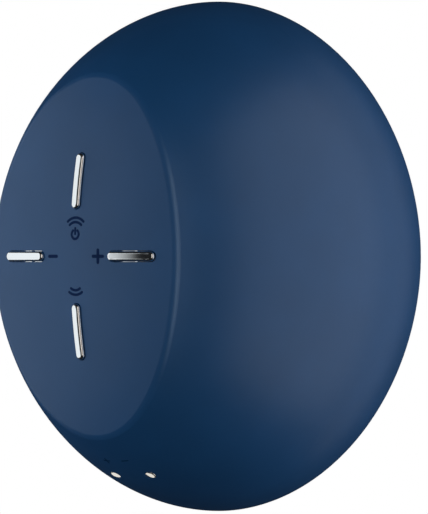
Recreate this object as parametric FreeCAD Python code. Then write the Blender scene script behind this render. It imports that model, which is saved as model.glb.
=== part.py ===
import FreeCAD, Part
import math
import os
from FreeCAD import Matrix, Rotation, Vector

# Shower speaker, in millimetres.
# The wall is the plane Y = 0 and the suction cup's lip lies on it.
# +Z is up.  The control face looks toward -Y and +X is its right-hand side.

# Egg-shaped body
BODY_HALF_HEIGHT = 55.0
BODY_HALF_WIDTH = 40.7
FRONT_REACH = 56.5
REAR_REACH = 46.9
PROFILE_POWER = 1.95
WIDEST_Y = -42.5
FACE_RADIUS = 112.0
FACE_CROWN = 46.2
FACE_EDGE_ROUND = 3.0
FACE_CENTRE_Y = WIDEST_Y - FACE_CROWN + FACE_RADIUS

# Wall build-up, as insets from the outside surface
SKIN_INNER = 2.0
HOUSING_OUTER = 2.05
HOUSING_INNER = 4.45
SKIN_REAR_Y = -6.5
LEDGE_Y = -8.7
LEDGE_THICK = 2.0
LEDGE_HALF_WIDTH = 20.5
LEDGE_HALF_HEIGHT = 29.0
SEAL_INSET = 3.0
SEAL_WIDTH = 0.8
SEAL_DEPTH = 0.9

# Case screws and their posts
POST_X = 13.5
POST_Z = 21.0
POST_RADIUS = 2.6
POST_ROOT_RADIUS = 3.4
POST_SHOULDER_Y = -50.0
SCREW_RADIUS = 1.25
SCREW_HEAD_RADIUS = 2.2
SCREW_TIP_Y = -56.0

# Bar buttons
BAR_LENGTH = 12.0
BAR_WIDTH = 2.2
BAR_PROUD = 0.75
BAR_EDGE_ROUND = 0.65
BAR_SLOT_GAP = 0.15
BAR_RISE = 16.1
BAR_SPREAD = 15.3
FLANGE_LENGTH = 13.4
FLANGE_WIDTH = 3.6
FLANGE_TOP_RADIUS = 109.85
FLANGE_BOTTOM_RADIUS = 109.15
POCKET_FLOOR_RADIUS = 108.6
STEM_RADIUS = 1.2
STEM_END_Y = -81.0
PLUNGER_RADIUS = 1.0
SEAL_SEAT_Y = -82.7
BOSS_END_Y = -81.5

# Boards
BUTTON_BOARD_Y = (-78.4, -77.4)
BUTTON_SCREW_OFFSET = 8.5
MAIN_BOARD_Y = (-45.4, -44.2)
MAIN_BOARD_SIZE = (44.0, 64.0)
SPACER_X = 18.5
SPACER_Z = 9.0

# Battery
BATTERY_RADIUS = 9.2
BATTERY_LENGTH = 65.0
BATTERY_Y = -60.0

# Loudspeaker driver, centred on the Y axis and facing the wall
BAFFLE_Y = (-17.5, -15.0)
BAFFLE_HOLE = 19.5
DRIVER_FLANGE_RADIUS = 22.0
DRIVER_FLANGE_Y = (-19.5, -18.3)
DRIVER_SCREW_RING = 21.1

# Rear panel and the suction mount
PANEL_Y = (-8.5, -6.5)
PANEL_HALF_WIDTH = 22.7
PANEL_HALF_HEIGHT = 31.1
HOLE_RADIUS = 0.8
HOLE_PITCH = 2.6
WELL_RADIUS = 16.0
WELL_Y = -13.2
NUT_POCKET_RADIUS = 11.2
NUT_POCKET_Y = -11.7
STUD_RADIUS = 4.0
STUD_FLAT = 3.3
STUD_SHOULDER_Y = -10.2
CUP_RADIUS = 20.0
RETAINER_SCREW_RING = 12.75

# Charging contacts, under the chin
CONTACT_PITCH = 9.9
CONTACT_RADIUS = 1.25
CONTACT_POINT = Vector(0, -70.25, -46.97)
CONTACT_NORMAL = Vector(0, -0.498, -0.867)


def cylinder(radius, y_from, y_to, x=0.0, z=0.0):
    """A solid round bar along Y."""
    return Part.makeCylinder(radius, y_to - y_from, Vector(x, y_from, z), Vector(0, 1, 0))


def tube(outer, inner, y_from, y_to, x=0.0, z=0.0):
    """A hollow round bar along Y."""
    return cylinder(outer, y_from, y_to, x, z).cut(cylinder(inner, y_from - 1, y_to + 1, x, z))


def box(x_range, y_range, z_range):
    """A block between the given limits."""
    size = [high - low for low, high in (x_range, y_range, z_range)]
    return Part.makeBox(*size, Vector(x_range[0], y_range[0], z_range[0]))


def oval(half_width, half_height, y_from, y_to):
    """An elliptical plate across the Y axis."""
    plate = Part.makeCylinder(half_width, y_to - y_from, Vector(0, y_from, 0), Vector(0, 1, 0))
    stretch = Matrix()
    stretch.scale(1, 1, half_height / half_width)
    return plate.transformGeometry(stretch)


def turned(profile):
    """A ring or disc turned about the Y axis from (radius, y) corners."""
    corners = [Vector(radius, y, 0) for radius, y in profile]
    face = Part.Face(Part.makePolygon(corners + corners[:1]))
    return face.revolve(Vector(0, 0, 0), Vector(0, 1, 0), 360)


def stadium(length, width, y_range, x, z, upright):
    """A round-ended bar shape, extruded along Y."""
    reach = (length - width) / 2
    if upright:
        ends = [(x, z - reach), (x, z + reach)]
        middle = box((x - width / 2, x + width / 2), y_range, (z - reach, z + reach))
    else:
        ends = [(x - reach, z), (x + reach, z)]
        middle = box((x - reach, x + reach), y_range, (z - width / 2, z + width / 2))
    caps = [cylinder(width / 2, y_range[0], y_range[1], *end) for end in ends]
    return middle.fuse(caps).removeSplitter()


def at_corners(x, z):
    """The four mirror-image positions of a point."""
    return [(-x, -z), (x, -z), (-x, z), (x, z)]


def around(count, radius, first=0.0):
    """Positions spaced evenly round the Y axis."""
    angles = [math.radians(first + 360.0 * i / count) for i in range(count)]
    return [(radius * math.cos(a), radius * math.sin(a)) for a in angles]


def group(shapes):
    """Identical pieces kept together as one node."""
    return Part.makeCompound(shapes)


def half_outline(inset, steps=16):
    """The right-hand side of the body's widest outline, bottom to top."""
    height = BODY_HALF_HEIGHT - inset
    width = BODY_HALF_WIDTH - inset
    points = [Vector(0, 0, -height)]
    for i in range(1, steps):
        angle = -math.pi / 2 + math.pi * i / steps
        across = math.cos(angle) ** (2 / PROFILE_POWER)
        along = math.copysign(abs(math.sin(angle)) ** (2 / PROFILE_POWER), math.sin(angle))
        points.append(Vector(width * across, 0, height * along))
    points.append(Vector(0, 0, height))
    curve = Part.BSplineCurve()
    rightward, leftward = Vector(1, 0, 0), Vector(-1, 0, 0)
    curve.interpolate(Points=points, InitialTangent=rightward, FinalTangent=leftward, Scale=False)
    return curve.toShape()


def egg_half(inset, reach, turn):
    """Half of the egg, from its widest plane to its front or rear end."""
    height = BODY_HALF_HEIGHT - inset
    axis = Part.makeLine(Vector(0, 0, height), Vector(0, 0, -height))
    face = Part.Face(Part.Wire([half_outline(inset), axis]))
    half = face.revolve(Vector(0, 0, 0), Vector(0, 0, 1), turn)
    stretch = Matrix()
    stretch.scale(1, (reach - inset) / (BODY_HALF_WIDTH - inset), 1)
    half = half.transformGeometry(stretch)
    half.translate(Vector(0, WIDEST_Y, 0))
    return half


def face_ball(radius):
    """The big sphere that the control face is part of."""
    return Part.makeSphere(radius, Vector(0, FACE_CENTRE_Y, 0))


def front_half(inset):
    """Front of the body, with the shallow dome of the control face."""
    return egg_half(inset, FRONT_REACH, -180).common(face_ball(FACE_RADIUS - inset))


def rear_half(inset):
    """Rear of the body."""
    return egg_half(inset, REAR_REACH, 180)


def rounded_front():
    """Front of the body with the edge of the control face rounded."""
    front = front_half(0)
    rim = [e for e in front.Edges if e.Length > 60 and e.BoundBox.YMax < WIDEST_Y - 30]
    return front.makeFillet(FACE_EDGE_ROUND, rim)


def oval_ring(inset, width, y_from, y_to):
    """A ring that follows the body's widest outline inside its wall."""
    outer_width, outer_height = BODY_HALF_WIDTH - inset, BODY_HALF_HEIGHT - inset
    ring = oval(outer_width, outer_height, y_from, y_to)
    return ring.cut(oval(outer_width - width, outer_height - width, y_from - 1, y_to + 1))


def slab(y_from, y_to):
    """Everything between two planes across the Y axis."""
    return box((-100, 100), (y_from, y_to), (-100, 100))


def on_contact(shape):
    """Moves a shape drawn along +Z onto the charging contact's spot."""
    shape = shape.copy()
    turn = Rotation(Vector(0, 0, 1), CONTACT_NORMAL)
    shape.Placement = FreeCAD.Placement(CONTACT_POINT, turn).multiply(shape.Placement)
    return shape


def contact_bores(radius, top, depth):
    """Two round bars at the charging contacts, measured down from the skin."""
    bars = []
    for x in (-CONTACT_PITCH / 2, CONTACT_PITCH / 2):
        bars.append(on_contact(Part.makeCylinder(radius, top + depth, Vector(x, 0, -depth))))
    return bars


def cable(points, radius):
    """A thin insulated wire through the given points."""
    pieces = []
    for start, end in zip(points, points[1:]):
        start, end = Vector(*start), Vector(*end)
        pieces.append(Part.makeCylinder(radius, (end - start).Length, start, end - start))
    for point in points[1:-1]:
        pieces.append(Part.makeSphere(radius, Vector(*point)))
    return pieces[0].fuse(pieces[1:])


BUTTONS = {
    "power": (0.0, BAR_RISE, True),
    "pair": (0.0, -BAR_RISE, True),
    "volume_up": (BAR_SPREAD, 0.0, False),
    "volume_down": (-BAR_SPREAD, 0.0, False),
}


def outer_skin():
    """The seamless soft cover, open at the rear."""
    skin = rounded_front().fuse(rear_half(0))
    skin = skin.cut(front_half(SKIN_INNER).fuse(rear_half(SKIN_INNER)))
    skin = skin.cut(slab(SKIN_REAR_Y, 20))
    slots = []
    for x, z, upright in BUTTONS.values():
        length = BAR_LENGTH + 2 * BAR_SLOT_GAP
        width = BAR_WIDTH + 2 * BAR_SLOT_GAP
        slots.append(stadium(length, width, (-95, -80), x, z, upright))
    return skin.cut(slots + contact_bores(CONTACT_RADIUS + 0.05, 3, 5)).Solids[0]


def front_housing():
    """Hard inner case, front part, with button pockets and screw posts."""
    shell = front_half(HOUSING_OUTER).cut(front_half(HOUSING_INNER))
    inside = front_half(HOUSING_OUTER + 1.0)
    additions = []
    for x, z in at_corners(POST_X, POST_Z):
        additions.append(cylinder(POST_ROOT_RADIUS, -90, POST_SHOULDER_Y, x, z).common(inside))
        additions.append(cylinder(POST_RADIUS, POST_SHOULDER_Y, WIDEST_Y, x, z))
    for x, z in at_corners(BUTTON_SCREW_OFFSET, BUTTON_SCREW_OFFSET):
        additions.append(cylinder(2.2, -90, BUTTON_BOARD_Y[0], x, z).common(inside))
    for x, z, upright in BUTTONS.values():
        additions.append(cylinder(3.2, -90, BOSS_END_Y, x, z).common(inside))
    shell = shell.fuse(additions)

    cuts = []
    for x, z in at_corners(POST_X, POST_Z):
        cuts.append(cylinder(SCREW_RADIUS + 0.05, SCREW_TIP_Y - 2, WIDEST_Y + 1, x, z))
    for x, z in at_corners(BUTTON_SCREW_OFFSET, BUTTON_SCREW_OFFSET):
        cuts.append(cylinder(0.82, BUTTON_BOARD_Y[0] - 4, BUTTON_BOARD_Y[0] + 1, x, z))
    pocket_floor = face_ball(POCKET_FLOOR_RADIUS)
    for x, z, upright in BUTTONS.values():
        pocket = stadium(FLANGE_LENGTH + 0.4, FLANGE_WIDTH + 0.4, (-95, -80), x, z, upright)
        cuts.append(pocket.cut(pocket_floor))
        cuts.append(cylinder(STEM_RADIUS + 0.15, -95, BOSS_END_Y + 1, x, z))
        cuts.append(cylinder(2.2, SEAL_SEAT_Y, BOSS_END_Y + 1, x, z))
    cuts.append(oval_ring(SEAL_INSET - 0.05, SEAL_WIDTH + 0.1, WIDEST_Y - SEAL_DEPTH, WIDEST_Y + 1))
    cuts += contact_bores(1.0, 3, 8)
    cuts += contact_bores(2.0, 3, 3.25)
    return shell.cut(cuts).Solids[0]


def rear_housing():
    """Hard inner case, rear part, with the baffle and the panel ledge."""
    outside = rear_half(HOUSING_OUTER)
    shell = outside.cut(slab(LEDGE_Y, 20))
    shell = shell.cut(rear_half(HOUSING_INNER).cut(slab(LEDGE_Y - LEDGE_THICK, 20)))
    shell = shell.cut(oval(LEDGE_HALF_WIDTH, LEDGE_HALF_HEIGHT, -20, 0))
    baffle = rear_half(HOUSING_OUTER + 1.0).common(slab(*BAFFLE_Y))
    additions = [baffle.cut(cylinder(BAFFLE_HOLE, -30, 0))]
    for x, z in at_corners(POST_X, POST_Z):
        additions.append(cylinder(POST_RADIUS, WIDEST_Y, PANEL_Y[0], x, z))
    shell = shell.fuse(additions)
    cuts = []
    for x, z in at_corners(POST_X, POST_Z):
        cuts.append(cylinder(SCREW_RADIUS + 0.2, WIDEST_Y - 1, 0, x, z))
    for x, z in around(4, DRIVER_SCREW_RING):
        cuts.append(cylinder(0.72, BAFFLE_Y[0] - 1, BAFFLE_Y[1] - 0.4, x, z))
    return shell.cut(cuts).Solids[0]


def housing_seal():
    """Rubber cord in the groove between the two housings."""
    return oval_ring(SEAL_INSET, SEAL_WIDTH, WIDEST_Y - SEAL_DEPTH, WIDEST_Y)


def case_screws():
    """Long screws that clamp the rear panel and both housings."""
    screws = []
    for x, z in at_corners(POST_X, POST_Z):
        shank = cylinder(SCREW_RADIUS, SCREW_TIP_Y, -7.8, x, z)
        head = cylinder(SCREW_HEAD_RADIUS, -7.8, -6.7, x, z)
        socket = cylinder(1.0, -7.4, -6.0, x, z)
        screws.append(shank.fuse(head).cut(socket))
    return group(screws)


def sound_holes():
    """Perforations of the rear panel, in a staggered grid."""
    holes = []
    row_step = HOLE_PITCH * math.sqrt(3) / 2
    for row in range(-11, 12):
        shift = HOLE_PITCH / 2 if row % 2 else 0.0
        for column in range(-8, 9):
            x = column * HOLE_PITCH + shift
            z = row * row_step
            inside_edge = (x / 19.3) ** 2 + (z / 27.8) ** 2 < 1
            clear_of_well = math.hypot(x, z) > WELL_RADIUS + 1.2
            clear_of_screws = min(math.hypot(x - px, z - pz) for px, pz in at_corners(POST_X, POST_Z)) > 4.1
            if inside_edge and clear_of_well and clear_of_screws:
                holes.append(cylinder(HOLE_RADIUS, PANEL_Y[0] - 1, PANEL_Y[1] + 1, x, z))
    return holes


def stud_bore(gap):
    """Round bore with two flats that keeps the stud from turning."""
    flats = STUD_FLAT + gap
    return cylinder(STUD_RADIUS + gap, -20, 0).common(box((-flats, flats), (-20, 0), (-9, 9)))


def rear_panel():
    """Perforated plate with the well for the suction mount."""
    panel = oval(PANEL_HALF_WIDTH, PANEL_HALF_HEIGHT, *PANEL_Y)
    panel = panel.fuse(cylinder(WELL_RADIUS, WELL_Y, PANEL_Y[0] + 0.5))
    cuts = sound_holes()
    cuts.append(cylinder(14.5, -8.0, 0))
    cuts.append(cylinder(NUT_POCKET_RADIUS, NUT_POCKET_Y, 0))
    cuts.append(stud_bore(0.06))
    for x, z in around(3, RETAINER_SCREW_RING, 90):
        cuts.append(cylinder(0.75, -11.0, 0, x, z))
    for x, z in at_corners(POST_X, POST_Z):
        cuts.append(cylinder(SCREW_RADIUS + 0.2, -10, 0, x, z))
        cuts.append(cylinder(SCREW_HEAD_RADIUS + 0.2, -7.8, 0, x, z))
    return panel.cut(cuts).Solids[0]


def grille_mesh():
    """Fine mesh sheet held behind the perforated plate."""
    mesh = oval(22.4, 30.9, LEDGE_Y, PANEL_Y[0])
    cuts = [cylinder(WELL_RADIUS + 0.2, -10, 0)]
    cuts += [cylinder(POST_RADIUS + 0.1, -10, 0, x, z) for x, z in at_corners(POST_X, POST_Z)]
    return mesh.cut(cuts)


def driver_gasket():
    """Foam ring between the driver and the baffle."""
    gasket = tube(DRIVER_FLANGE_RADIUS, BAFFLE_HOLE, DRIVER_FLANGE_Y[1], BAFFLE_Y[0])
    return gasket.cut([cylinder(0.75, -20, -15, x, z) for x, z in around(4, DRIVER_SCREW_RING)])


def driver_basket():
    """Steel frame of the driver, with six windows."""
    flange_low, flange_high = DRIVER_FLANGE_Y
    rim = [(17.4, flange_high), (DRIVER_FLANGE_RADIUS, flange_high), (DRIVER_FLANGE_RADIUS, flange_low)]
    wall = [(19.2, flange_low), (16.8, -28.5), (9.5, -28.5), (9.5, -27.7), (11.6, -27.7)]
    ledge = [(11.6, -26.7), (13.4, -26.7), (13.4, -27.7), (15.6, -27.7), (17.4, flange_low)]
    basket = turned(rim + wall + ledge)
    cuts = []
    for i in range(6):
        window = box((13.8, 19.6), (-26.6, -20.4), (-4.3, 4.3))
        window.rotate(Vector(0, 0, 0), Vector(0, 1, 0), 60 * i)
        cuts.append(window)
    cuts += [cylinder(0.75, -21, -17, x, z) for x, z in around(4, DRIVER_SCREW_RING)]
    return basket.cut(cuts)


def driver_surround():
    """Half-roll rubber edge between the cone and the basket."""
    middle, outer_roll, inner_roll = 16.55, 1.15, 0.85
    angles = [math.pi * i / 12 for i in range(13)]
    outside = [(middle - outer_roll * math.cos(a), -18.1 + outer_roll * math.sin(a)) for a in angles]
    inside = [(middle + inner_roll * math.cos(a), -18.3 + inner_roll * math.sin(a)) for a in angles]
    return turned(outside + [(19.2, -18.1), (19.2, -18.3)] + inside + [(15.4, -18.3)])


def driver_cone():
    """Paper cone."""
    return turned([(15.4, -18.3), (14.7, -18.3), (6.5, -24.4), (6.5, -25.2), (7.0, -25.2), (15.4, -18.9)])


def driver_dust_cap():
    """Small dome over the voice coil."""
    edge, rim_y, rise, thick = 7.9, -23.35, 2.4, 0.3
    ball = (edge ** 2 + rise ** 2) / (2 * rise)
    centre = Vector(0, rim_y + rise - ball, 0)
    dome = Part.makeSphere(ball, centre).cut(Part.makeSphere(ball - thick, centre))
    return dome.common(cylinder(edge, rim_y, 0))


def driver_spider():
    """Corrugated cloth disc that centres the voice coil."""
    radii = [6.5 + 6.6 * i / 24 for i in range(25)]
    waves = [0.28 * math.sin(2 * math.pi * 4 * i / 24) for i in range(25)]
    top = [(r, -26.25 + w) for r, w in zip(radii, waves)]
    bottom = [(r, -26.55 + w) for r, w in zip(radii, waves)]
    rim = [(13.1, -26.7), (12.4, -26.7)]
    return turned(top + rim + bottom[-4::-1])


def driver_yoke():
    """Steel back plate with its centre pole."""
    return turned([(0, -38.5), (14.0, -38.5), (14.0, -36.0), (6.0, -36.0), (6.0, -28.5), (0, -28.5)])


def driver_terminals():
    """Solder tag strip on the side of the basket."""
    strip = box((-4.0, 4.0), (-25.2, -24.0), (-21.5, -17.0)).cut(driver_basket())
    strip = max(strip.Solids, key=lambda solid: solid.Volume)
    tags = [box((x - 0.8, x + 0.8), (-24.0, -23.6), (-21.2, -19.0)) for x in (-2.4, 2.4)]
    return group([strip] + tags)


def driver_screws():
    """Screws that hold the driver to the baffle."""
    screws = []
    for x, z in around(4, DRIVER_SCREW_RING):
        head = cylinder(1.3, -20.4, DRIVER_FLANGE_Y[0], x, z)
        screws.append(head.fuse(cylinder(0.7, DRIVER_FLANGE_Y[0], -15.6, x, z)))
    return group(screws)


def main_board():
    """Printed circuit board across the middle of the case."""
    width, height = MAIN_BOARD_SIZE
    board = box((-width / 2, width / 2), MAIN_BOARD_Y, (-height / 2, height / 2))
    cuts = [cylinder(POST_RADIUS + 0.3, -50, -40, x, z) for x, z in at_corners(POST_X, POST_Z)]
    cuts += [cylinder(0.95, -50, -40, x, z) for x, z in at_corners(SPACER_X, SPACER_Z)]
    upright = [e for e in board.Edges if abs(e.Length - 1.2) < 0.01]
    return board.makeFillet(3.0, upright).cut(cuts)


def main_board_screws():
    """Screws that hold the main board on the cradle's spacers."""
    screws = []
    for x, z in at_corners(SPACER_X, SPACER_Z):
        head = cylinder(1.6, MAIN_BOARD_Y[1], MAIN_BOARD_Y[1] + 1.0, x, z)
        screws.append(head.fuse(cylinder(0.9, MAIN_BOARD_Y[0] - 2.6, MAIN_BOARD_Y[1], x, z)))
    return group(screws)


def amplifier_chip():
    """Power amplifier package."""
    top = MAIN_BOARD_Y[1]
    return box((-3.5, 3.5), (top, top + 1.2), (-12.5, -5.5))


def radio_module():
    """Wireless module with a metal shield."""
    top = MAIN_BOARD_Y[1]
    base = box((-6.0, 6.0), (top, top + 0.8), (2.0, 18.0))
    return base.fuse(box((-5.4, 5.4), (top + 0.8, top + 2.4), (2.6, 13.5)))


def board_capacitors():
    """Round capacitors near the top and bottom edges."""
    top = MAIN_BOARD_Y[1]
    return group([cylinder(2.5, top, top + 5.0, x, z) for x, z in at_corners(5.5, 27.5)])


def battery_cradle():
    """Plate on the post shoulders, with three saddles for the cell."""
    plate = box((-21.5, 21.5), (POST_SHOULDER_Y, POST_SHOULDER_Y + 1.5), (-31.0, 31.0))
    saddles = []
    for z in (-29.0, 0.0, 29.0):
        saddles.append(box((-9.6, 9.6), (BATTERY_Y + 2, POST_SHOULDER_Y), (z - 1.2, z + 1.2)))
    spacers = []
    for x, z in at_corners(SPACER_X, SPACER_Z):
        spacers.append(cylinder(2.2, POST_SHOULDER_Y, MAIN_BOARD_Y[0], x, z))
    cradle = plate.fuse(saddles + spacers)
    cuts = [cylinder(POST_RADIUS + 0.1, -55, -45, x, z) for x, z in at_corners(POST_X, POST_Z)]
    cuts += [cylinder(0.92, MAIN_BOARD_Y[0] - 3, -40, x, z) for x, z in at_corners(SPACER_X, SPACER_Z)]
    cell_space = Part.makeCylinder(BATTERY_RADIUS + 0.05, 80, Vector(0, BATTERY_Y, -40))
    return cradle.cut(cuts + [cell_space])


def battery_cell():
    """Cylindrical rechargeable cell."""
    cell = Part.makeCylinder(BATTERY_RADIUS, BATTERY_LENGTH, Vector(0, BATTERY_Y, -BATTERY_LENGTH / 2))
    cell = cell.makeFillet(0.6, cell.Edges[:1] + cell.Edges[2:])
    return cell.fuse(Part.makeCylinder(2.8, 0.8, Vector(0, BATTERY_Y, BATTERY_LENGTH / 2)))


def battery_pad():
    """Foam block that presses the cell into its saddles."""
    pad = box((-5.5, 5.5), (BUTTON_BOARD_Y[1], BATTERY_Y - 6.5), (-14.0, 14.0))
    return pad.cut(Part.makeCylinder(BATTERY_RADIUS, 80, Vector(0, BATTERY_Y, -40)))


def post_retainers():
    """Push-on rings that keep the cradle on the posts."""
    low = POST_SHOULDER_Y + 1.5
    return group([tube(POST_RADIUS + 1.2, POST_RADIUS, low, low + 0.6, x, z)
                  for x, z in at_corners(POST_X, POST_Z)])


def button_board():
    """Oval board that carries the four switches."""
    board = oval(23.5, 32.5, *BUTTON_BOARD_Y)
    cuts = [cylinder(POST_ROOT_RADIUS + 0.3, -80, -70, x, z) for x, z in at_corners(POST_X, POST_Z)]
    corner = BUTTON_SCREW_OFFSET
    cuts += [cylinder(0.85, -80, -70, x, z) for x, z in at_corners(corner, corner)]
    return board.cut(cuts)


def button_board_screws():
    """Screws that hold the button board on its bosses."""
    screws = []
    for x, z in at_corners(BUTTON_SCREW_OFFSET, BUTTON_SCREW_OFFSET):
        head = cylinder(1.5, BUTTON_BOARD_Y[1], BUTTON_BOARD_Y[1] + 0.9, x, z)
        screws.append(head.fuse(cylinder(0.8, BUTTON_BOARD_Y[0] - 3.5, BUTTON_BOARD_Y[1], x, z)))
    return group(screws)


def switch_bodies():
    """Tactile switches under the four bars."""
    top = BUTTON_BOARD_Y[0]
    switches = []
    for x, z, upright in BUTTONS.values():
        body = box((x - 2.5, x + 2.5), (top - 1.6, top), (z - 2.5, z + 2.5))
        switches.append(body.cut(cylinder(PLUNGER_RADIUS + 0.08, top - 2, top - 0.4, x, z)))
    return group(switches)


def board_flex():
    """Flat flexible cable from the button board to the main board."""
    half, gauge = 4.0, 0.25
    edge, board_edge = 29.8, -MAIN_BOARD_SIZE[1] / 2
    front = box((-half, half), (BUTTON_BOARD_Y[1], BUTTON_BOARD_Y[1] + gauge), (-edge - 3.6, -edge + 2))
    run = box((-half, half), (BUTTON_BOARD_Y[1], MAIN_BOARD_Y[0]), (-edge - 3.6 - gauge, -edge - 3.6))
    rear = box((-half, half), (MAIN_BOARD_Y[0] - gauge, MAIN_BOARD_Y[0]), (-edge - 3.6, board_edge + 2))
    return front.fuse([run, rear])


def button_cap(x, z, upright):
    """Chromed bar with its hidden flange and stem."""
    dome = face_ball(FACE_RADIUS + BAR_PROUD)
    bar = stadium(BAR_LENGTH, BAR_WIDTH, (-95, -80), x, z, upright)
    bar = bar.common(dome).cut(face_ball(FLANGE_TOP_RADIUS - 0.3))
    crown = [e for e in bar.Edges if on_dome(e)]
    bar = bar.makeFillet(BAR_EDGE_ROUND, crown)
    flange = stadium(FLANGE_LENGTH, FLANGE_WIDTH, (-95, -80), x, z, upright)
    flange = flange.common(face_ball(FLANGE_TOP_RADIUS)).cut(face_ball(FLANGE_BOTTOM_RADIUS))
    stem = cylinder(STEM_RADIUS, -86, STEM_END_Y, x, z)
    return bar.fuse([flange, stem]).Solids[0]


def on_dome(edge):
    """True for the edges round the crown of a bar."""
    centre = Vector(0, FACE_CENTRE_Y, 0)
    ends = [edge.valueAt(edge.FirstParameter), edge.valueAt(edge.LastParameter)]
    return all(abs((end - centre).Length - FACE_RADIUS - BAR_PROUD) < 0.01 for end in ends)


def switch_plunger(x, z):
    """Plunger of a tactile switch."""
    return cylinder(PLUNGER_RADIUS, STEM_END_Y, BUTTON_BOARD_Y[0] - 0.9, x, z)


def button_seals():
    """Rubber rings round the button stems."""
    return group([tube(2.15, STEM_RADIUS + 0.05, SEAL_SEAT_Y, BOSS_END_Y - 0.1, x, z)
                  for x, z, upright in BUTTONS.values()])


def charge_contacts():
    """Two plated charging pins."""
    pins = []
    for x in (-CONTACT_PITCH / 2, CONTACT_PITCH / 2):
        head = Part.makeCylinder(CONTACT_RADIUS, 1.95, Vector(x, 0, -2.0))
        head = head.makeFillet(0.25, [head.Edges[0]])
        pin = head.fuse(Part.makeCylinder(0.9, 6.6, Vector(x, 0, -8.6)))
        pins.append(on_contact(pin))
    return group(pins)


def contact_seals():
    """Rubber rings under the heads of the charging pins."""
    rings = []
    for x in (-CONTACT_PITCH / 2, CONTACT_PITCH / 2):
        ring = Part.makeCylinder(1.9, 0.55, Vector(x, 0, -3.25))
        rings.append(on_contact(ring.cut(Part.makeCylinder(0.92, 2, Vector(x, 0, -4.0)))))
    return group(rings)


def contact_carrier():
    """Insulating block that holds the charging pins and the magnet."""
    block = on_contact(Part.makeBox(17.0, 7.0, 3.2, Vector(-8.5, -3.5, -7.6)))
    block = block.common(front_half(HOUSING_INNER + 0.05))
    magnet_space = on_contact(Part.makeCylinder(2.4, 3.2, Vector(0, 0, -7.6)))
    return block.cut(contact_bores(0.92, 3, 9) + [magnet_space])


def contact_magnet():
    """Magnet that draws the charging plug into place."""
    return on_contact(Part.makeCylinder(2.35, 2.6, Vector(0, 0, -7.5)))


def contact_board():
    """Small board behind the charging pins."""
    board = on_contact(Part.makeBox(18.0, 8.0, 0.8, Vector(-9.0, -4.0, -8.4)))
    return board.cut(contact_bores(0.92, 3, 9))


def speaker_leads():
    """Wires from the main board to the driver."""
    leads = []
    for x in (-2.4, 2.4):
        path = [(x, MAIN_BOARD_Y[1], -25.0), (x, -26.0, -25.0), (x, -23.1, -22.6), (x, -23.1, -20.0)]
        leads.append(cable(path, 0.5))
    return group(leads)


def battery_leads():
    """Wires from the cell to the main board."""
    leads = []
    for x in (-1.2, 1.2):
        path = [(x, BATTERY_Y, 33.3), (x, BATTERY_Y, 36.0), (x, -48.0, 36.0)]
        path += [(x, -46.0, 34.0), (x, -46.0, 30.0)]
        leads.append(cable(path, 0.55))
    return group(leads)


def contact_leads():
    """Wires from the charging board to the main board."""
    leads = []
    for x in (-7.4, 7.4):
        path = [(x, -66.2, -38.8), (x, -63.0, -37.2), (x, -48.0, -37.2)]
        path += [(x, -46.0, -35.0), (x, -46.0, -30.0)]
        leads.append(cable(path, 0.5))
    return group(leads)


def suction_cup():
    """Soft cup that grips the wall, with a tab to peel it off."""
    top = [(CUP_RADIUS, 0), (CUP_RADIUS, -0.6), (17.5, -1.45), (9.0, -2.2), (0, -2.2)]
    under = [(0, -0.9), (10.0, -0.7), (18.6, 0)]
    cup = turned(top + under)
    tab = stadium(12.0, 8.0, (-0.9, -0.1), 0, -(CUP_RADIUS + 1.5), True)
    inside_lip = turned([(0, -3), (CUP_RADIUS - 0.6, -3), (CUP_RADIUS - 0.6, 1), (0, 1)])
    return cup.fuse(tab.cut(inside_lip)).cut(stud_foot(0.02))


def stud_foot(gap):
    """The part of the stud that is moulded into the cup."""
    plate = cylinder(6.0 + gap, -1.9 - gap, -1.3 + gap)
    return plate.fuse(cylinder(STUD_RADIUS + gap, -4.0, -1.6))


def cup_stud():
    """Threaded stud, with flats that stop it turning."""
    shank = cylinder(STUD_RADIUS, -14.5, STUD_SHOULDER_Y)
    round_part = cylinder(STUD_RADIUS, STUD_SHOULDER_Y, -1.6)
    flat_part = shank.common(box((-STUD_FLAT, STUD_FLAT), (-20, STUD_SHOULDER_Y), (-9, 9)))
    return stud_foot(0).fuse([round_part, flat_part]).removeSplitter()


def pressure_dish():
    """Stiff dish that presses the rim of the cup onto the wall."""
    outside = [(STUD_RADIUS + 0.06, -4.4), (9.0, -4.4), (17.8, -2.5)]
    inside = [(17.8, -1.5), (9.5, -3.6), (STUD_RADIUS + 0.06, -3.6)]
    return turned(outside + inside)


def lock_ring():
    """Knurled nut that draws the stud into the case."""
    disc = cylinder(NUT_POCKET_RADIUS - 0.08, -11.6, -8.0)
    neck = cylinder(8.6, -8.5, -6.0)
    flange = cylinder(16.5, -6.2, -4.5)
    grips = [cylinder(0.9, -7, -4, x, z) for x, z in around(30, 16.9, 6)]
    tabs = []
    for side in (-1, 1):
        tab = box((15.0, 19.0), (-6.2, -4.5), (-3.5, 3.5))
        tab = tab.makeFillet(1.6, [e for e in tab.Edges if e.BoundBox.XMin > 18.9 and e.BoundBox.YLength > 1])
        tab.rotate(Vector(0, 0, 0), Vector(0, 1, 0), 90 + 90 * side)
        tabs.append(tab)
    ring = disc.fuse([neck, flange]).cut(grips).fuse(tabs)
    return ring.cut(cylinder(STUD_RADIUS + 0.06, -20, 0)).Solids[0]


def ring_retainer():
    """Collar that keeps the nut in its well."""
    collar = tube(14.3, 8.68, -7.9, -6.6)
    cuts = []
    for x, z in around(3, RETAINER_SCREW_RING, 90):
        cuts.append(cylinder(0.85, -9, 0, x, z))
        cuts.append(cylinder(1.4, -7.2, 0, x, z))
    return collar.cut(cuts)


def retainer_screws():
    """Screws that hold the collar."""
    screws = []
    for x, z in around(3, RETAINER_SCREW_RING, 90):
        screws.append(cylinder(1.3, -7.2, -6.65, x, z).fuse(cylinder(0.72, -10.6, -7.2, x, z)))
    return group(screws)


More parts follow.
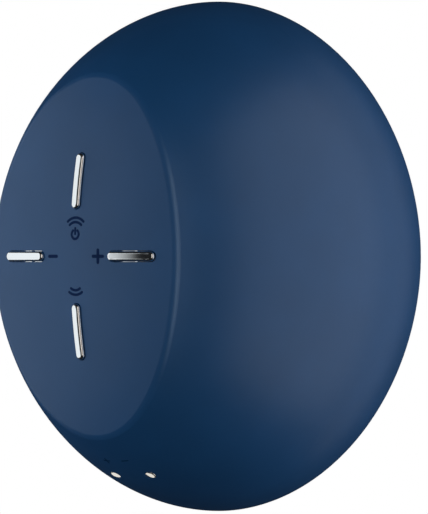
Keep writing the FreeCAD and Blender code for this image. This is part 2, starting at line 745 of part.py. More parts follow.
def build_all():
    """Every node of the assembly by name."""
    nodes = {
        "outer_skin": outer_skin(),
        "front_housing": front_housing(),
        "rear_housing": rear_housing(),
        "housing_seal": housing_seal(),
        "case_screws": case_screws(),
        "rear_panel": rear_panel(),
        "grille_mesh": grille_mesh(),
        "driver_gasket": driver_gasket(),
        "driver_basket": driver_basket(),
        "driver_surround": driver_surround(),
        "driver_cone": driver_cone(),
        "driver_dust_cap": driver_dust_cap(),
        "coil_former": tube(6.5, 6.3, -33.0, -24.4),
        "coil_winding": tube(6.9, 6.5, -32.5, -29.0),
        "driver_spider": driver_spider(),
        "driver_top_plate": tube(14.0, 7.1, -31.0, -28.5),
        "driver_magnet": tube(15.5, 9.0, -36.0, -31.0),
        "driver_yoke": driver_yoke(),
        "driver_terminals": driver_terminals(),
        "driver_screws": driver_screws(),
        "main_board": main_board(),
        "main_board_screws": main_board_screws(),
        "amplifier_chip": amplifier_chip(),
        "radio_module": radio_module(),
        "board_capacitors": board_capacitors(),
        "battery_cradle": battery_cradle(),
        "battery_cell": battery_cell(),
        "battery_pad": battery_pad(),
        "post_retainers": post_retainers(),
        "button_board": button_board(),
        "button_board_screws": button_board_screws(),
        "switch_bodies": switch_bodies(),
        "board_flex": board_flex(),
        "button_seals": button_seals(),
        "charge_contacts": charge_contacts(),
        "contact_seals": contact_seals(),
        "contact_carrier": contact_carrier(),
        "contact_magnet": contact_magnet(),
        "contact_board": contact_board(),
        "speaker_leads": speaker_leads(),
        "battery_leads": battery_leads(),
        "contact_leads": contact_leads(),
        "suction_cup": suction_cup(),
        "cup_stud": cup_stud(),
        "pressure_dish": pressure_dish(),
        "lock_ring": lock_ring(),
        "ring_retainer": ring_retainer(),
        "retainer_screws": retainer_screws(),
    }
    for name, (x, z, upright) in BUTTONS.items():
        nodes[name + "_button_cap"] = button_cap(x, z, upright)
        nodes[name + "_switch_plunger"] = switch_plunger(x, z)
    return nodes


os.makedirs("parts", exist_ok=True)
for node_name, node_shape in build_all().items():
    node_shape.exportStep("parts/" + node_name + ".step")
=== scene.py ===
import math

import bpy
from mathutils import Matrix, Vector


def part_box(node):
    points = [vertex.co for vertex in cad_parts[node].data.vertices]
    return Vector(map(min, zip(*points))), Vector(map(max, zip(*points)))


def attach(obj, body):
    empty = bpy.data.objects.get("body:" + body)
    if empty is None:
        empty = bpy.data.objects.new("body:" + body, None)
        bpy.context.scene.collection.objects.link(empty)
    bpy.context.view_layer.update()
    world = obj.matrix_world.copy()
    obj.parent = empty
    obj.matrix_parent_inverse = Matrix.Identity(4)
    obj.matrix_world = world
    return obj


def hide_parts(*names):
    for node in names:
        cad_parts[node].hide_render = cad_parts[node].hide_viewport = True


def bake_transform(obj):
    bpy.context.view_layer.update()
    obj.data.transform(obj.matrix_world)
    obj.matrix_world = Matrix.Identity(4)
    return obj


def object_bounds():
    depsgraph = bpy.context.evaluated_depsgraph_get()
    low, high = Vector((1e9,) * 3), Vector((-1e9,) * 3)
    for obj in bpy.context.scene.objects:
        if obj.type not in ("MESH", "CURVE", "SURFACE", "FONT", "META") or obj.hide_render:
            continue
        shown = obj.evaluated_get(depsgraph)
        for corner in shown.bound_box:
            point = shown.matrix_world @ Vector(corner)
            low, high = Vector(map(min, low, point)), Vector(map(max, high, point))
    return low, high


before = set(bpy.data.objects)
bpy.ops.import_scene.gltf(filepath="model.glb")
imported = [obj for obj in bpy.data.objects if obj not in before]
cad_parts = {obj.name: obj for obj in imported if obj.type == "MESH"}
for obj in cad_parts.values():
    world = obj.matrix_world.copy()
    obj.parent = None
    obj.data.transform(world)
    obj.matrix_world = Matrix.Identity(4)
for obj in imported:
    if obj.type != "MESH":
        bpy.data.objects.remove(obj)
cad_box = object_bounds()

MM = 0.001

# The control face, as in the CAD part
FACE_RADIUS = 112.0 * MM
FACE_CENTRE_Y = 23.3 * MM
BODY_CENTRE = Vector((0.0, -42.5 * MM, 0.0))

# Printed marks
MARK_LIFT = 0.02 * MM
MARK_DEPTH = 0.05 * MM
SIGN_STROKE = 0.72 * MM
WAVE_STROKE = 0.56 * MM
SIGN_X = 6.5 * MM
PLUS_HALF = 1.33 * MM
MINUS_HALF = 1.1 * MM
POWER_CENTRE_Z = 4.7 * MM
POWER_RING = 1.0 * MM
POWER_WAVES = (2.6 * MM, 3.55 * MM)
PAIR_CENTRE_Z = -5.0 * MM
PAIR_WAVES = (2.25 * MM, 3.22 * MM)

# Charging contacts, as in the CAD part, and the faint marks by them
CONTACT_POINT = Vector((0.0, -70.25, -46.97)) * MM
CONTACT_NORMAL = Vector((0.0, -0.498, -0.867)).normalized()
POLARITY_X = 2.6 * MM
POLARITY_ALONG = 6.3 * MM
POLARITY_HALF = 0.8 * MM
POLARITY_STROKE = 0.34 * MM
RAY_START = 5.0 * MM

# Suction cup, in mm: its sloping back and the ribs there
CUP_SHOULDER = 9.2
CUP_BACK_Y = -2.04
CUP_BACK_SLOPE = 0.085
RIB_COUNT = 5
RIB_START = 10.2
RIB_PITCH = 1.5

# Peel tab of the cup, in mm
TAB_HALF = 4.0
TAB_ROOT_Z = -18.9
TAB_TIP_Z = -27.5
TAB_BACK_Y = -0.8
TAB_FRONT_Y = -0.12
TAB_ROUNDING = 0.16
GRIP_HEIGHT = 0.09
GRIP_PITCH = 1.5
GRIP_CREST_Z = -26.5
GRIP_Z = (-26.4, -20.6)

# Case screws, in mm; the head is domed above HEAD_EDGE_Y, where the cross recess is sunk
SCREW_TIP_Y = -56.0
THREAD_TURNS = 14
THREAD_PITCH = 0.6
SHANK_RADIUS = 1.2
SHANK_START_Y = -46.5
HEAD_RADIUS = 2.2
HEAD_UNDER_Y = -7.8
HEAD_TOP_Y = -6.7
HEAD_EDGE_Y = -7.07
RECESS_HALF = 0.24
RECESS_REACH = 1.15
RECESS_DEPTH = 0.62
RECESS_TAPER = 0.22
RECESS_WALL_SLOPE = 4.0

# Soft rings of the driver: the number of sectors, and the angle of a sharp edge
SOFT_SECTORS = 16
SHARP_ANGLE = math.radians(50)

# Camera: a long lens, level with the middle of the body
CAMERA_AZIMUTH = 42.0
CAMERA_DISTANCE = 3.0
VIEW_HEIGHT = 110.99 * MM
SENSOR = 36.0
FRAMING_RIGHT = -1.19 * MM
FRAMING_UP = -0.15 * MM

# Fading panel: its edges in metres from its middle, and the share of its width where the fade starts
PANEL_REAR = -0.31
PANEL_FRONT = 0.41
PANEL_FADE_START = 0.81

# Floor and tent, in metres, and the tent's brightness
FLOOR_RADIUS = 1.2
FLOOR_GAP = 0.0015
TENT_RADIUS = 1.6
TENT_GLOW = 0.015


# ---------------------------------------------------------------- materials

# Scales in cycles per metre: slow colour changes, uneven gloss and the woven mesh
MOTTLE_SCALE = 60
GLOSS_SCALE = 400
WEAVE_SCALE = 900.0
WEAVE_DEPTH = 0.08 * MM


def add_node(material, kind, **sockets):
    """Adds a shader node and sets its plain inputs."""
    node = material.node_tree.nodes.new(kind)
    for name, value in sockets.items():
        node.inputs[name].default_value = value
    return node


def link(material, source, output, target, socket):
    """Joins two shader nodes."""
    material.node_tree.links.new(source.outputs[output], target.inputs[socket])


def noise(material, scale, detail=2.0, stretch=(1, 1, 1)):
    """Noise in the part's own space, with its scale in cycles per metre."""
    place = material.node_tree.nodes.new("ShaderNodeTexCoord")
    mapping = material.node_tree.nodes.new("ShaderNodeMapping")
    mapping.inputs["Scale"].default_value = stretch
    texture = add_node(material, "ShaderNodeTexNoise", Scale=scale, Detail=detail)
    link(material, place, "Object", mapping, "Vector")
    link(material, mapping, "Vector", texture, "Vector")
    return texture


def vary_color(material, shader, color, amount, scale):
    """Slow light and dark changes over the surface."""
    texture = noise(material, scale, 3.0)
    ramp = material.node_tree.nodes.new("ShaderNodeValToRGB")
    low, high = ramp.color_ramp.elements
    low.position, high.position = 0.3, 0.7
    low.color = [c * (1 - amount) for c in color] + [1]
    high.color = [min(1, c * (1 + amount)) for c in color] + [1]
    link(material, texture, "Fac", ramp, "Fac")
    link(material, ramp, "Color", shader, "Base Color")


def vary_roughness(material, shader, low, high, scale, stretch=(1, 1, 1)):
    """Handling marks: the gloss changes a little from place to place."""
    texture = noise(material, scale, 5.0, stretch)
    spread = add_node(material, "ShaderNodeMapRange", **{"To Min": low, "To Max": high})
    link(material, texture, "Fac", spread, "Value")
    link(material, spread, "Result", shader, "Roughness")


def add_grain(material, shader, scale, depth, stretch=(1, 1, 1)):
    """A fine moulded or drawn surface, as bump."""
    texture = noise(material, scale, 3.0, stretch)
    bump = add_node(material, "ShaderNodeBump", Strength=1.0, Distance=depth)
    link(material, texture, "Fac", bump, "Height")
    link(material, bump, "Normal", shader, "Normal")


def smooth_material(name, color, roughness, metal=0.0, mottle=0.06, stretch=(1, 1, 1)):
    """A surface with mottled colour and uneven gloss."""
    material = bpy.data.materials.new(name)
    material.use_nodes = True
    shader = material.node_tree.nodes["Principled BSDF"]
    shader.inputs["Metallic"].default_value = metal
    vary_color(material, shader, color, mottle, MOTTLE_SCALE)
    vary_roughness(material, shader, roughness[0], roughness[1], GLOSS_SCALE, stretch)
    return material, shader


def make_material(name, color, roughness, metal=0.0, grain=(3000, 0.01), mottle=0.06, stretch=(1, 1, 1)):
    """A smooth_material with a fine grain, given in cycles per metre and millimetres of depth."""
    material, shader = smooth_material(name, color, roughness, metal, mottle, stretch)
    add_grain(material, shader, grain[0], grain[1] * MM, stretch)
    return material, shader


def skin_material():
    """Soft-touch navy silicone."""
    material, shader = make_material(
        "skin_silicone", (0.0104, 0.066, 0.188), (0.35, 0.41), grain=(5200, 0.006))
    shader.inputs["Specular IOR Level"].default_value = 0.3
    return material


def mark_material(name, color):
    """Matt ink of the printed marks."""
    material, shader = make_material(name, color, (0.5, 0.6), grain=(6000, 0.004))
    shader.inputs["Specular IOR Level"].default_value = 0.06
    return material


def chrome_material():
    """Polished chrome with faint wiping marks."""
    return make_material("chrome", (0.82, 0.82, 0.83), (0.05, 0.09), 1.0, (900, 0.0006), 0.02)[0]


def cup_material():
    """Smooth, slightly glossy dark rubber of the suction cup."""
    material, shader = make_material(
        "cup_rubber", (0.026, 0.031, 0.040), (0.20, 0.30), grain=(2600, 0.0015), mottle=0.12)
    shader.inputs["Coat Weight"].default_value = 0.25
    shader.inputs["Coat Roughness"].default_value = 0.12
    return material


def mesh_material():
    """Fine woven steel mesh, as crossed waves."""
    material, shader = smooth_material("woven_mesh", (0.035, 0.035, 0.04), (0.35, 0.5), 0.8)
    place = material.node_tree.nodes.new("ShaderNodeTexCoord")
    both = material.node_tree.nodes.new("ShaderNodeMath")
    both.operation = "MAXIMUM"
    for i, direction in enumerate(("X", "Z")):
        wave = add_node(material, "ShaderNodeTexWave", Scale=WEAVE_SCALE)
        wave.bands_direction = direction
        link(material, place, "Object", wave, "Vector")
        link(material, wave, "Fac", both, i)
    bump = add_node(material, "ShaderNodeBump", Strength=1.0, Distance=WEAVE_DEPTH)
    link(material, both, "Value", bump, "Height")
    link(material, bump, "Normal", shader, "Normal")
    return material


def cell_material():
    """Printed shrink sleeve of the rechargeable cell."""
    material, shader = make_material("cell_sleeve", (0.03, 0.16, 0.42), (0.25, 0.35), grain=(900, 0.02))
    shader.inputs["Coat Weight"].default_value = 0.4
    return material


# name: (colour, roughness range, metal, grain, mottle, stretch)
PLAIN_FINISHES = {
    "housing_plastic": ((0.022, 0.024, 0.028), (0.5, 0.62), 0.0, (2600, 0.02), 0.1, (1, 1, 1)),
    "panel_plastic": ((0.004, 0.026, 0.085), (0.42, 0.52), 0.0, (3200, 0.018), 0.08, (1, 1, 1)),
    "ring_plastic": ((0.02, 0.024, 0.032), (0.36, 0.46), 0.0, (2800, 0.015), 0.08, (1, 1, 1)),
    "dark_rubber": ((0.012, 0.012, 0.013), (0.6, 0.72), 0.0, (3400, 0.02), 0.12, (1, 1, 1)),
    "foam": ((0.02, 0.02, 0.022), (0.9, 0.97), 0.0, (1800, 0.12), 0.25, (1, 1, 1)),
    "screw_steel": ((0.5, 0.5, 0.52), (0.22, 0.34), 1.0, (1600, 0.004), 0.06, (1, 1, 1)),
    "nickel": ((0.74, 0.7, 0.62), (0.16, 0.26), 1.0, (1500, 0.003), 0.05, (1, 1, 1)),
    "stamped_steel": ((0.3, 0.3, 0.31), (0.32, 0.46), 1.0, (700, 0.008), 0.08, (1, 6, 1)),
    "black_plastic": ((0.016, 0.016, 0.018), (0.4, 0.55), 0.0, (2400, 0.012), 0.1, (1, 1, 1)),
    "ferrite": ((0.03, 0.03, 0.032), (0.5, 0.7), 0.0, (1400, 0.05), 0.2, (1, 1, 1)),
    "solder_mask": ((0.006, 0.07, 0.025), (0.25, 0.4), 0.0, (500, 0.01), 0.35, (1, 1, 1)),
    "chip_epoxy": ((0.01, 0.01, 0.011), (0.45, 0.6), 0.0, (4000, 0.01), 0.12, (1, 1, 1)),
    "tin_shield": ((0.6, 0.6, 0.61), (0.25, 0.4), 1.0, (600, 0.006), 0.06, (5, 1, 1)),
    "flex_film": ((0.42, 0.17, 0.025), (0.25, 0.35), 0.0, (700, 0.004), 0.15, (9, 1, 1)),
    "pulp_paper": ((0.03, 0.03, 0.032), (0.8, 0.92), 0.0, (2200, 0.06), 0.25, (1, 1, 1)),
    "coil_wire": ((0.6, 0.26, 0.1), (0.25, 0.4), 1.0, (2600, 0.04), 0.1, (0.1, 4, 0.1)),
    "spider_cloth": ((0.42, 0.28, 0.09), (0.8, 0.95), 0.0, (2600, 0.08), 0.2, (1, 1, 1)),
    "wire_sleeve": ((0.3, 0.02, 0.015), (0.4, 0.5), 0.0, (1800, 0.01), 0.1, (1, 1, 1)),
}

NODE_FINISHES = {
    "housing_plastic": ["front_housing", "rear_housing"],
    "panel_plastic": ["rear_panel"],
    "ring_plastic": ["lock_ring", "ring_retainer", "pressure_dish", "cup_stud"],
    "dark_rubber": ["housing_seal", "button_seals", "contact_seals"],
    "foam": ["driver_gasket", "battery_pad"],
    "screw_steel": ["driver_screws", "main_board_screws", "button_board_screws", "retainer_screws",
                    "post_retainers"],
    "nickel": ["charge_contacts", "driver_terminals"],
    "stamped_steel": ["driver_basket", "driver_top_plate", "driver_yoke"],
    "black_plastic": ["switch_bodies", "contact_carrier", "battery_cradle", "power_switch_plunger",
                      "pair_switch_plunger", "volume_up_switch_plunger", "volume_down_switch_plunger"],
    "ferrite": ["driver_magnet", "contact_magnet"],
    "solder_mask": ["main_board", "button_board", "contact_board"],
    "chip_epoxy": ["amplifier_chip", "board_capacitors"],
    "tin_shield": ["radio_module"],
    "flex_film": ["board_flex"],
    "pulp_paper": ["driver_cone", "driver_dust_cap"],
    "coil_wire": ["coil_former", "coil_winding"],
    "wire_sleeve": ["speaker_leads", "battery_leads", "contact_leads"],
}

CHROME_NODES = ["power_button_cap", "pair_button_cap", "volume_up_button_cap", "volume_down_button_cap"]


def dress(node, material):
    """Gives a CAD node its finish."""
    for material_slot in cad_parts[node].material_slots:
        material_slot.material = material


# ------------------------------------------------------------------ shapes

def add_piece(name, vertices, faces, material, body, slot, smooth=True):
    """Makes a mesh piece. It rides on a CAD body, unless body is None."""
    mesh = bpy.data.meshes.new(name)
    mesh.from_pydata([tuple(v) for v in vertices], [], faces)
    mesh.validate()
    mesh.materials.append(material)
    for polygon in mesh.polygons:
        polygon.use_smooth = smooth
    piece = bpy.data.objects.new(name, mesh)
    bpy.context.scene.collection.objects.link(piece)
    if body:
        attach(piece, body)
    return piece


def dome_point(x, z, lift):
    """A point of the control face, raised by lift."""
    radius = FACE_RADIUS + lift
    return Vector((x, FACE_CENTRE_Y - math.sqrt(radius * radius - x * x - z * z), z))


def arc(centre_z, radius, middle, spread, steps=24):
    """Points along an arc; angles in degrees, 90 is straight up."""
    points = []
    for i in range(steps + 1):
        angle = math.radians(middle - spread + 2 * spread * i / steps)
        points.append((radius * math.cos(angle), centre_z + radius * math.sin(angle)))
    return points


def with_round_ends(points, half):
    """Stations (flat point, half width) along a line, narrowing to round ends."""
    first, second = Vector(points[0]), Vector(points[1])
    last, before = Vector(points[-1]), Vector(points[-2])
    outward = (first - second).normalized()
    onward = (last - before).normalized()
    narrowest = 0.02
    reaches = [i / 6 for i in range(1, 7)]
    ends = [(half * s, half * max(narrowest, math.sqrt(1 - s * s))) for s in reaches]
    stations = [(first + outward * reach, width) for reach, width in reversed(ends)]
    stations += [(Vector(p), half) for p in points]
    stations += [(last + onward * reach, width) for reach, width in ends]
    return stations


def stroke(points, width, place_on):
    """Vertices and faces of one thin printed line; place_on puts a flat point on the surface."""
    stations = with_round_ends(points, width / 2)
    vertices = []
    for i, (place, half) in enumerate(stations):
        ahead = stations[min(i + 1, len(stations) - 1)][0] - stations[max(i - 1, 0)][0]
        side = Vector((-ahead.y, ahead.x)).normalized() * half
        for corner, lift in ((place + side, -MARK_DEPTH), (place + side, MARK_LIFT),
                             (place - side, MARK_LIFT), (place - side, -MARK_DEPTH)):
            vertices.append(place_on(corner.x, corner.y, lift))
    faces = [(0, 1, 2, 3)]
    for i in range(len(stations) - 1):
        for j in range(4):
            k = (j + 1) % 4
            faces.append((4 * i + j, 4 * i + 4 + j, 4 * i + 4 + k, 4 * i + k))
    end = 4 * (len(stations) - 1)
    faces.append((end + 3, end + 2, end + 1, end))
    return vertices, faces


def add_mark(name, lines, ink, place_on=dome_point):
    """One printed mark made of several lines."""
    vertices, faces = [], []
    for points, width in lines:
        line_vertices, line_faces = stroke(points, width, place_on)
        start = len(vertices)
        vertices += line_vertices
        faces += [tuple(start + i for i in face) for face in line_faces]
    return add_piece(name, vertices, faces, ink, "case", "skin", smooth=False)


def straight(start, end, steps=8):
    """Points along a straight line."""
    return [tuple(Vector(start).lerp(Vector(end), i / steps)) for i in range(steps + 1)]


def add_face_marks(ink):
    """Plus, minus, power with radio waves, and pairing waves."""
    across = straight((SIGN_X - PLUS_HALF, 0), (SIGN_X + PLUS_HALF, 0))
    upright = straight((SIGN_X, -PLUS_HALF), (SIGN_X, PLUS_HALF))
    add_mark("mark_plus", [(across, SIGN_STROKE), (upright, SIGN_STROKE)], ink)
    minus = straight((-SIGN_X - MINUS_HALF, 0), (-SIGN_X + MINUS_HALF, 0))
    add_mark("mark_minus", [(minus, SIGN_STROKE)], ink)
    ring = arc(POWER_CENTRE_Z, POWER_RING, 270, 142, 40)
    stem = straight((0, POWER_CENTRE_Z + 0.1 * POWER_RING), (0, POWER_CENTRE_Z + 1.3 * POWER_RING))
    waves = [(arc(POWER_CENTRE_Z, radius, 90, 40), WAVE_STROKE) for radius in POWER_WAVES]
    add_mark("mark_power", [(ring, WAVE_STROKE), (stem, WAVE_STROKE)] + waves, ink)
    waves = [(arc(PAIR_CENTRE_Z, radius, 270, 35), WAVE_STROKE) for radius in PAIR_WAVES]
    add_mark("mark_pair", waves, ink)


def chin_point(across, along, lift):
    """A point of the skin between the charging contacts and the face, raised by lift."""
    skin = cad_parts["outer_skin"]
    toward_face = Vector((0, CONTACT_NORMAL.z, -CONTACT_NORMAL.y))
    outside = CONTACT_POINT + Vector((across, 0, 0)) + toward_face * along + CONTACT_NORMAL * RAY_START
    place, normal = skin.ray_cast(outside, -CONTACT_NORMAL)[1:3]
    return place + normal * lift


def add_polarity_marks(ink):
    """Faint plus and minus between the charging contacts and the face."""
    half, middle = POLARITY_HALF, POLARITY_ALONG
    plus = straight((-POLARITY_X - half, middle), (-POLARITY_X + half, middle))
    upright = straight((-POLARITY_X, middle - half), (-POLARITY_X, middle + half))
    minus = straight((POLARITY_X - half, middle), (POLARITY_X + half, middle))
    add_mark("mark_positive", [(plus, POLARITY_STROKE), (upright, POLARITY_STROKE)], ink, chin_point)
    add_mark("mark_negative", [(minus, POLARITY_STROKE)], ink, chin_point)


def lathe(profile, place=(0, 0), steps=128):
    """Vertices and faces of a (radius, y) outline in mm, from axis to axis, turned about a line along Y."""
    x, z = place
    middle = profile[1:-1]
    count = len(middle)
    vertices = []
    for i in range(steps):
        angle = 2 * math.pi * i / steps
        for radius, y in middle:
            vertices.append(Vector((x + radius * math.cos(angle), y, z + radius * math.sin(angle))) * MM)
    first, last = len(vertices), len(vertices) + 1
    vertices.append(Vector((x, profile[0][1], z)) * MM)
    vertices.append(Vector((x, profile[-1][1], z)) * MM)
    faces = []
    for i in range(steps):
        here, after = i * count, (i + 1) % steps * count
        faces.append((first, here, after))
        for j in range(count - 1):
            faces.append((here + j, here + j + 1, after + j + 1, after + j))
        faces.append((here + count - 1, last, after + count - 1))
    return vertices, faces


def cup_profile():
    """Outline of the cup: a thin lip, ribs on the back and a hollow face."""
    outline = [(0, -2.18), (4.6, -2.18), (8.6, -2.16), (CUP_SHOULDER, -2.08)]
    for i in range(RIB_COUNT):
        radius = RIB_START + RIB_PITCH * i
        back_y = CUP_BACK_Y + CUP_BACK_SLOPE * (radius - CUP_SHOULDER)
        outline += [(radius, back_y), (radius + 0.3, back_y - 0.09)]
        outline += [(radius + 0.7, back_y - 0.06), (radius + 0.9, back_y + 0.08)]
    outline += [(17.6, -1.38), (18.8, -1.0), (19.6, -0.66), (19.9, -0.5)]
    outline += [(19.99, -0.3), (19.95, -0.08), (19.8, 0)]
    outline += [(18.9, 0), (18.5, -0.06), (18.1, -0.16), (17.7, -0.06), (17.3, -0.22), (15.5, -0.34)]
    outline += [(13.0, -0.52), (10.6, -0.66), (10.3, -0.58), (9.9, -0.70), (6.0, -0.82), (0, -0.88)]
    return outline


def tab_point(share, z, back):
    """A point of the peel tab; share is -1 to 1 across it, and back picks the side with grip bars."""
    past_round = max(0.0, TAB_TIP_Z + TAB_HALF - z)
    width = math.sqrt(max(0.0, TAB_HALF * TAB_HALF - past_round * past_round))
    rounding = TAB_ROUNDING * (1 - math.sqrt(max(0.0, 1 - share ** 8)))
    if not back:
        return Vector((width * share, TAB_FRONT_Y - rounding, z)) * MM
    raised = 0.0
    if GRIP_Z[0] < z < GRIP_Z[1]:
        raised = GRIP_HEIGHT * (0.5 + 0.5 * math.cos(2 * math.pi * (z - GRIP_CREST_Z) / GRIP_PITCH))
    return Vector((width * share, TAB_BACK_Y - raised * (1 - share ** 6) + rounding, z)) * MM


def tab_mesh(across=16, along=40):
    """Peel tab of the cup: a tongue with a round end and raised grip bars."""
    vertices, faces = [], []
    for back in (False, True):
        for i in range(along + 1):
            z = TAB_ROOT_Z + (TAB_TIP_Z - TAB_ROOT_Z) * i / along
            vertices += [tab_point(2 * j / across - 1, z, back) for j in range(across + 1)]
    row = across + 1
    layer = row * (along + 1)
    for i in range(along):
        for j in range(across):
            a = i * row + j
            faces.append((a, a + 1, a + row + 1, a + row))
            faces.append((layer + a, layer + a + row, layer + a + row + 1, layer + a + 1))
    for i in range(along):
        for a, b in ((i * row, i * row + row), (i * row + across + row, i * row + across)):
            faces.append((a, b, layer + b, layer + a))
    for j in range(across):
        end = along * row + j
        faces.append((j, layer + j, layer + j + 1, j + 1))
        faces.append((end, end + 1, layer + end + 1, layer + end))
    return vertices, faces


def add_cup(rubber):
    """Detailed suction cup and its peel tab."""
    cup = add_piece("cup_body", *lathe(cup_profile()), rubber, None, "cup_soft")
    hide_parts("suction_cup")
    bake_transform(cup)
    add_piece("cup_tab", *tab_mesh(), rubber, "case", "cup_soft")


def ring_sector(outline, middle, steps=5):
    """Vertices and faces of a closed (radius, y) outline in mm, swept through one sector about Y."""
    count = len(outline)
    half = math.pi / SOFT_SECTORS
    vertices, faces = [], []
    for i in range(steps + 1):
        angle = middle - half + 2 * half * i / steps
        vertices += [Vector((r * math.cos(angle), y, r * math.sin(angle))) * MM for r, y in outline]
    for i in range(steps):
        for j in range(count):
            k = (j + 1) % count
            a, b = i * count, (i + 1) * count
            faces.append((a + j, a + k, b + k, b + j))
    faces.append(tuple(range(count - 1, -1, -1)))
    faces.append(tuple(range(steps * count, (steps + 1) * count)))
    return vertices, faces


def surround_outline():
    """Half-roll rubber edge with a flat flange."""
    middle, rear, front = 16.55, -18.1, -18.3
    outer_roll, inner_roll = 1.15, 0.85
    turn = [math.pi * i / 16 for i in range(17)]
    outside = [(middle - outer_roll * math.cos(a), rear + outer_roll * math.sin(a)) for a in turn]
    inside = [(middle + inner_roll * math.cos(a), front + inner_roll * math.sin(a)) for a in turn]
    return outside + [(19.2, rear), (19.2, front)] + inside + [(middle - outer_roll, front)]


def spider_outline():
    """Cloth disc with four round corrugations and a thicker rim."""
    inner, rim, outer = 6.5, 12.4, 13.1
    corrugation, height = 1.65, 0.28
    radii = [inner + (outer - inner) * i / 48 for i in range(49)]
    waves = [(r, height * math.sin(2 * math.pi * (r - inner) / corrugation)) for r in radii]
    rear = [(r, -26.25 + w) for r, w in waves]
    front = [(r, -26.55 + w) for r, w in waves if r < rim]
    return rear + [(outer, -26.7), (rim, -26.7)] + front[::-1]


def add_soft_ring(name, node, outline, material, slot):
    """A soft ring of the driver in sectors, each a piece of its own."""
    for i in range(SOFT_SECTORS):
        angle = 2 * math.pi * (i + 0.5) / SOFT_SECTORS
        sector = add_piece(f"{name}_{i + 1:02d}", *ring_sector(outline, angle), material, None, slot)
        sector.data.set_sharp_from_angle(angle=SHARP_ANGLE)
        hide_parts(node)
        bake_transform(sector)


def recess_depth(x, z):
    """Depth in mm of a cross recess at a point of a screw head."""
    past_upright_arm = max(abs(x) - RECESS_HALF, abs(z) - RECESS_REACH)
    past_level_arm = max(abs(z) - RECESS_HALF, abs(x) - RECESS_REACH)
    wall = -RECESS_WALL_SLOPE * min(past_upright_arm, past_level_arm)
    floor = RECESS_DEPTH - RECESS_TAPER * math.hypot(x, z)
    return max(0.0, min(floor, wall))


def screw_mesh(x, z):
    """A pan-head screw with a cross recess and a threaded tip."""
    profile = [(0, SCREW_TIP_Y), (0.9, SCREW_TIP_Y + 0.4)]
    for i in range(THREAD_TURNS):
        crest_y = SCREW_TIP_Y + 1.0 + THREAD_PITCH * i
        profile += [(1.02, crest_y - THREAD_PITCH / 2), (1.25, crest_y)]
    profile += [(SHANK_RADIUS, SHANK_START_Y), (SHANK_RADIUS, HEAD_UNDER_Y)]
    profile += [(2.1, HEAD_UNDER_Y), (HEAD_RADIUS, -7.65), (HEAD_RADIUS, -7.25), (2.12, -7.08)]
    radii = [2.0 - 0.05 * i for i in range(40)]
    profile += [(radius, HEAD_TOP_Y - 0.08 * radius * radius) for radius in radii]
    profile.append((0, HEAD_TOP_Y))
    vertices, faces = lathe(profile, (x, z), 96)
    for vertex in vertices:
        if vertex.y > HEAD_EDGE_Y * MM:
            vertex.y -= recess_depth(vertex.x / MM - x, vertex.z / MM - z) * MM
    return vertices, faces


def add_case_screws(steel):
    """The four long screws, one per corner post."""
    low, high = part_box("case_screws")
    out_x = (high.x - low.x) / 2 / MM - HEAD_RADIUS
    out_z = (high.z - low.z) / 2 / MM - HEAD_RADIUS
    for i, (side, level) in enumerate(((-1, -1), (1, -1), (1, 1), (-1, 1))):
        shape = screw_mesh(side * out_x, level * out_z)
        screw = add_piece(f"case_screw_{i + 1}", *shape, steel, "case", "screw_steel")
        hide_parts("case_screws")


# ------------------------------------------------------------------- stage

def add_softbox(name, azimuth, elevation, distance, size, radiance, color=(1, 1, 1)):
    """A rectangular light aimed at the body, in degrees and metres; radiance is its brightness."""
    light = bpy.data.lights.new(name, "AREA")
    light.shape = "RECTANGLE"
    light.size, light.size_y = size
    light.energy = radiance * math.pi * size[0] * size[1]
    light.color = color
    lamp = bpy.data.objects.new(name, light)
    bpy.context.scene.collection.objects.link(lamp)
    a, e = math.radians(azimuth), math.radians(elevation)
    away = Vector((math.sin(a) * math.cos(e), -math.cos(a) * math.cos(e), math.sin(e)))
    lamp.location = BODY_CENTRE + away * distance
    lamp.rotation_mode = "QUATERNION"
    lamp.rotation_quaternion = away.to_track_quat("Z", "Y")
    return lamp


def light_only(lamp, node):
    """Makes a lamp light one CAD node and nothing else."""
    lit_pieces = bpy.data.collections.new(f"lit_by_{lamp.name}")
    lit_pieces.objects.link(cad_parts[node])
    lamp.light_linking.receiver_collection = lit_pieces


def add_fading_panel(name, azimuth, distance, height, radiance):
    """A glowing panel that fades out along its front edge, for a soft end to its reflections."""
    a = math.radians(azimuth)
    away = Vector((math.sin(a), -math.cos(a), 0))
    across = Vector((math.cos(a), math.sin(a), 0))
    centre = BODY_CENTRE + away * distance
    corners = []
    for reach, level in ((PANEL_REAR, -0.5), (PANEL_FRONT, -0.5), (PANEL_FRONT, 0.5), (PANEL_REAR, 0.5)):
        corners.append(centre + across * reach + Vector((0, 0, level * height)))
    mesh = bpy.data.meshes.new(name)
    mesh.from_pydata([tuple(c) for c in corners], [], [(0, 1, 2, 3)])
    uv = mesh.uv_layers.new(name="across")
    for i, u in enumerate((0.0, 1.0, 1.0, 0.0)):
        uv.data[i].uv = (u, 0.0)
    material = stage_material(name, (0.92, 0.98, 1.0), radiance)
    place = material.node_tree.nodes.new("ShaderNodeTexCoord")
    split = material.node_tree.nodes.new("ShaderNodeSeparateXYZ")
    fade = add_node(material, "ShaderNodeMapRange", **{"From Min": PANEL_FADE_START, "To Min": radiance,
                                                      "To Max": 0.0})
    link(material, place, "UV", split, "Vector")
    link(material, split, "X", fade, "Value")
    link(material, fade, "Result", material.node_tree.nodes["Emission"], "Strength")
    mesh.materials.append(material)
    panel = bpy.data.objects.new(name, mesh)
    bpy.context.scene.collection.objects.link(panel)
    panel.visible_camera = False


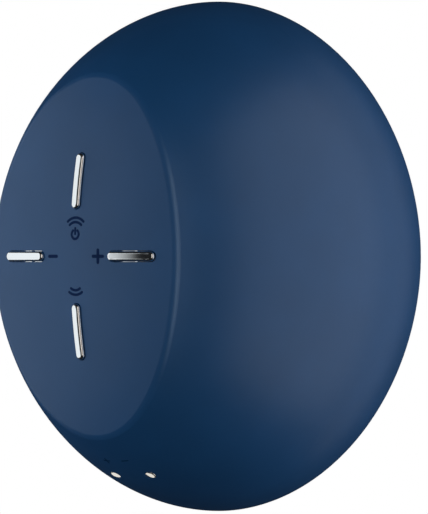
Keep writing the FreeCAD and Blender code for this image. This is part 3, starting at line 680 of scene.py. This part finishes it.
def add_lights():
    """Soft lights round the body, a narrow one for the edge of the face, and one for the contacts."""
    add_fading_panel("left_panel", -58, 0.55, 0.62, 1.05)
    add_softbox("right_box", 116, 3, 0.55, (0.72, 1.25), 1.35)
    add_softbox("rear_box", 165, 0, 0.55, (0.30, 1.00), 0.4)
    add_softbox("front_fill", 42, 5, 0.62, (0.40, 0.70), 0.8, (1.0, 0.93, 0.85))
    edge_strip = add_softbox("edge_strip", 36, 0, 0.57, (0.10, 0.85), 5.7, (0.70, 0.90, 1.0))
    edge_strip.visible_diffuse = False
    light_only(edge_strip, "outer_skin")
    matte_fill = add_softbox("matte_fill", -35, 5, 0.60, (0.60, 0.60), 2.35)
    matte_fill.visible_glossy = False
    contact_light = add_softbox("contact_light", -119, -40, 0.50, (0.16, 0.16), 1.2)
    light_only(contact_light, "charge_contacts")


def stage_material(name, color, strength):
    """An even glow for the studio surroundings."""
    material = bpy.data.materials.new(name)
    material.use_nodes = True
    nodes = material.node_tree.nodes
    nodes.clear()
    glow = nodes.new("ShaderNodeEmission")
    glow.inputs["Color"].default_value = (*color, 1)
    glow.inputs["Strength"].default_value = strength
    out = nodes.new("ShaderNodeOutputMaterial")
    material.node_tree.links.new(glow.outputs["Emission"], out.inputs["Surface"])
    return material


def add_floor():
    """Plain white floor under the part; it lights nothing."""
    bpy.ops.mesh.primitive_circle_add(
        vertices=96, radius=FLOOR_RADIUS, fill_type="NGON", location=(0, 0, cad_box[0].z - FLOOR_GAP))
    floor = bpy.context.object
    floor.name = "floor"
    floor.data.materials.append(stage_material("floor_white", (1, 1, 1), 1.0))
    floor.visible_diffuse = False
    floor.visible_glossy = False
    floor.visible_transmission = False
    floor.visible_shadow = False


def add_tent():
    """Dim tent round the studio, which the camera looks through."""
    bpy.ops.mesh.primitive_uv_sphere_add(segments=48, ring_count=24, radius=TENT_RADIUS, location=(0, 0, 0))
    tent = bpy.context.object
    tent.name = "tent"
    tent.data.materials.append(stage_material("tent_grey", (0.9, 0.95, 1.0), TENT_GLOW))
    tent.visible_camera = False


def add_world():
    """White surroundings behind everything."""
    world = bpy.data.worlds.new("studio")
    bpy.context.scene.world = world
    world.use_nodes = True
    background = world.node_tree.nodes["Background"]
    background.inputs["Color"].default_value = (1, 1, 1, 1)
    background.inputs["Strength"].default_value = 1.0


def add_camera():
    """Long lens, level with the body and turned to its right-hand side."""
    data = bpy.data.cameras.new("camera")
    camera = bpy.data.objects.new("camera", data)
    bpy.context.scene.collection.objects.link(camera)
    data.sensor_width = SENSOR
    data.lens = SENSOR * CAMERA_DISTANCE / VIEW_HEIGHT
    a = math.radians(CAMERA_AZIMUTH)
    back = Vector((math.sin(a), -math.cos(a), 0))
    right = Vector((math.cos(a), math.sin(a), 0))
    camera.location = BODY_CENTRE + back * CAMERA_DISTANCE + right * FRAMING_RIGHT
    camera.location.z += FRAMING_UP
    camera.rotation_mode = "QUATERNION"
    camera.rotation_quaternion = back.to_track_quat("Z", "Y")
    bpy.context.scene.camera = camera


def build():
    """Dresses the CAD nodes, adds the detailed pieces and sets the studio."""
    bpy.context.scene.view_settings.view_transform = "Standard"
    add_camera()
    add_world()
    add_floor()
    add_tent()
    add_lights()
    finishes = {name: make_material(name, *values)[0] for name, values in PLAIN_FINISHES.items()}
    for name, nodes in NODE_FINISHES.items():
        for node in nodes:
            dress(node, finishes[name])
    chrome = chrome_material()
    for node in CHROME_NODES:
        dress(node, chrome)
    dress("outer_skin", skin_material())
    dress("grille_mesh", mesh_material())
    dress("battery_cell", cell_material())
    add_cup(cup_material())
    add_case_screws(finishes["screw_steel"])
    add_soft_ring("surround", "driver_surround", surround_outline(), finishes["dark_rubber"],
                  "seal_rubber")
    add_soft_ring("spider", "driver_spider", spider_outline(), finishes["spider_cloth"],
                  "spider_cloth")
    add_face_marks(mark_material("mark_ink", (0.001, 0.015, 0.07)))
    add_polarity_marks(mark_material("faint_ink", (0.003, 0.026, 0.085)))


build()
